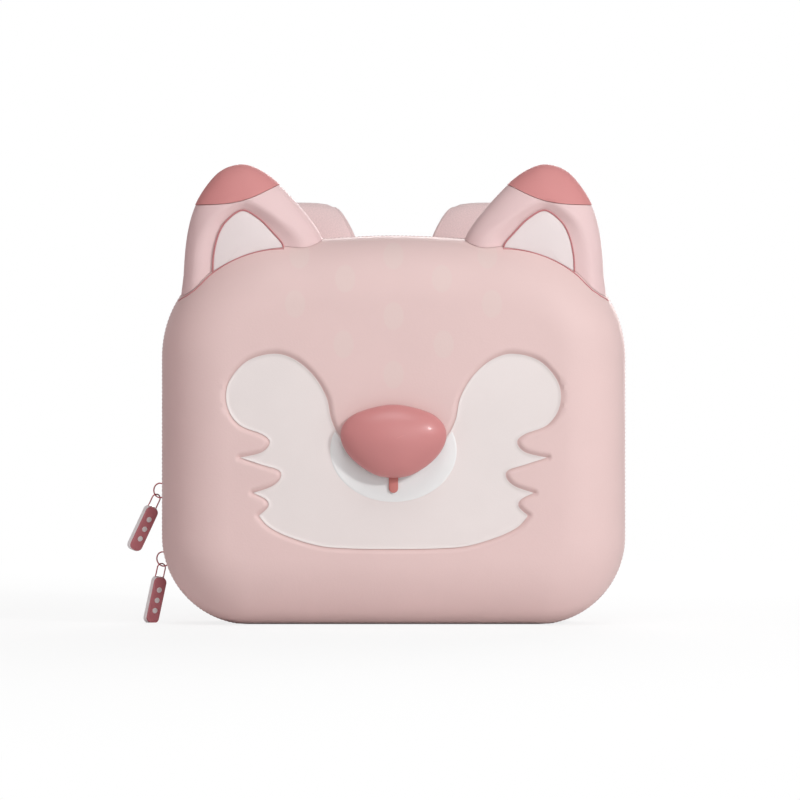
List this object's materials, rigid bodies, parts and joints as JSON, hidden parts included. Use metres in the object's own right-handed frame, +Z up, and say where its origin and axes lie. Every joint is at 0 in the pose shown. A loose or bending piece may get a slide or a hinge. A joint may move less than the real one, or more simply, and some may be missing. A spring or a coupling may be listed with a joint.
{
  "type": "kids hard-shell backpack",
  "caption": "Moulded clamshell backpack for a small child with a plain animal face, padded ears, a zip round the shell and padded shoulder straps.",
  "frame": {"origin": "on the rear shell's flat underside, midway between its sides", "axes": "+Z up, the face looks along -Y, +X to the right of someone looking at the face"},
  "size_m": [0.303, 0.175, 0.2805],
  "materials": {
    "shell_pink": "moulded foam shell with a soft matt cloth laminate",
    "cream": "matt cream laminate",
    "white": "matt white print",
    "nose_rose": "glossy soft moulding",
    "rose": "matt rose cloth laminate",
    "ear_pink": "soft matt laminate over foam",
    "lining_pink": "plain woven lining",
    "tape_pink": "woven tape and webbing",
    "mesh_pink": "spacer mesh over foam",
    "metal_rose": "painted zinc and wire",
    "clear_white": "milky soft moulding",
    "tag_rose": "matt soft moulding"
  },
  "bodies": {
    "pack_body": {"rear_shell": "shell_pink", "rear_lining": "lining_pink", "rear_zip_chain": "tape_pink", "rear_hinge_tape": "tape_pink", "left_zip_stop": "metal_rose", "right_zip_stop": "metal_rose", "sleeve_pocket": "lining_pink", "sleeve_pocket_binding": "rose", "strap_yoke": "rose", "left_back_pad": "mesh_pink", "right_back_pad": "mesh_pink", "lumbar_pad": "mesh_pink", "left_shoulder_strap": "mesh_pink", "right_shoulder_strap": "mesh_pink", "left_adjuster": "tag_rose", "right_adjuster": "tag_rose", "left_strap_webbing": "tape_pink", "right_strap_webbing": "tape_pink", "left_anchor_tab": "rose", "right_anchor_tab": "rose"},
    "lid": {"front_shell": "shell_pink", "front_lining": "lining_pink", "front_zip_chain": "tape_pink", "front_hinge_tape": "tape_pink", "lid_mesh_pocket": "mesh_pink", "lid_mesh_pocket_binding": "rose", "face_panel": "cream", "muzzle_patch": "white", "mouth_bar": "rose", "nose": "nose_rose", "left_ear": "ear_pink", "right_ear": "ear_pink", "left_ear_tip": "rose", "right_ear_tip": "rose", "left_ear_lining": "cream", "right_ear_lining": "cream", "left_ear_trim": "rose", "right_ear_trim": "rose"},
    "upper_slider": {"upper_slider": "metal_rose"},
    "upper_ring": {"upper_slider_ring": "metal_rose"},
    "upper_tag": {"upper_slider_wire": "metal_rose", "upper_slider_tag": "clear_white", "upper_slider_tag_face": "tag_rose"},
    "lower_slider": {"lower_slider": "metal_rose"},
    "lower_ring": {"lower_slider_ring": "metal_rose"},
    "lower_tag": {"lower_slider_wire": "metal_rose", "lower_slider_tag": "clear_white", "lower_slider_tag_face": "tag_rose"},
    "handle": {"carry_handle": "tape_pink"}
  },
  "joints": [
    {"name": "lid_hinge", "type": "hinge", "parent": "pack_body", "child": "lid", "pos_m": [0, -0.016, 0.0033], "axis": [1, 0, 0], "range_deg": [0, 105]},
    {"name": "upper_slider_travel", "type": "slide", "parent": "pack_body", "child": "upper_slider", "axis": [0, 0, 1], "range_m": [0, 0.065]},
    {"name": "upper_ring_swing", "type": "hinge", "parent": "upper_slider", "child": "upper_ring", "pos_m": [-0.1387, -0.016, 0.0805], "axis": [0, 0, 1], "range_deg": [-8, 27]},
    {"name": "upper_tag_swing", "type": "hinge", "parent": "upper_ring", "child": "upper_tag", "pos_m": [-0.14458, -0.013, 0.07669], "axis": [0, 1, 0], "range_deg": [-15, 50]},
    {"name": "lower_slider_travel", "type": "hinge", "parent": "pack_body", "child": "lower_slider", "pos_m": [-0.087, -0.016, 0.053], "axis": [0, -1, 0], "range_deg": [0, 16]},
    {"name": "lower_ring_swing", "type": "hinge", "parent": "lower_slider", "child": "lower_ring", "pos_m": [-0.13694, -0.016, 0.03962], "axis": [-0.2588, 0, 0.9659], "range_deg": [-8, 20]},
    {"name": "lower_tag_swing", "type": "hinge", "parent": "lower_ring", "child": "lower_tag", "pos_m": [-0.14163, -0.013, 0.03442], "axis": [0, 1, 0], "range_deg": [-12, 50]},
    {"name": "handle_swing", "type": "hinge", "parent": "pack_body", "child": "handle", "pos_m": [0, 0.0466, 0.198], "axis": [1, 0, 0], "range_deg": [0, 120]}
  ]
}
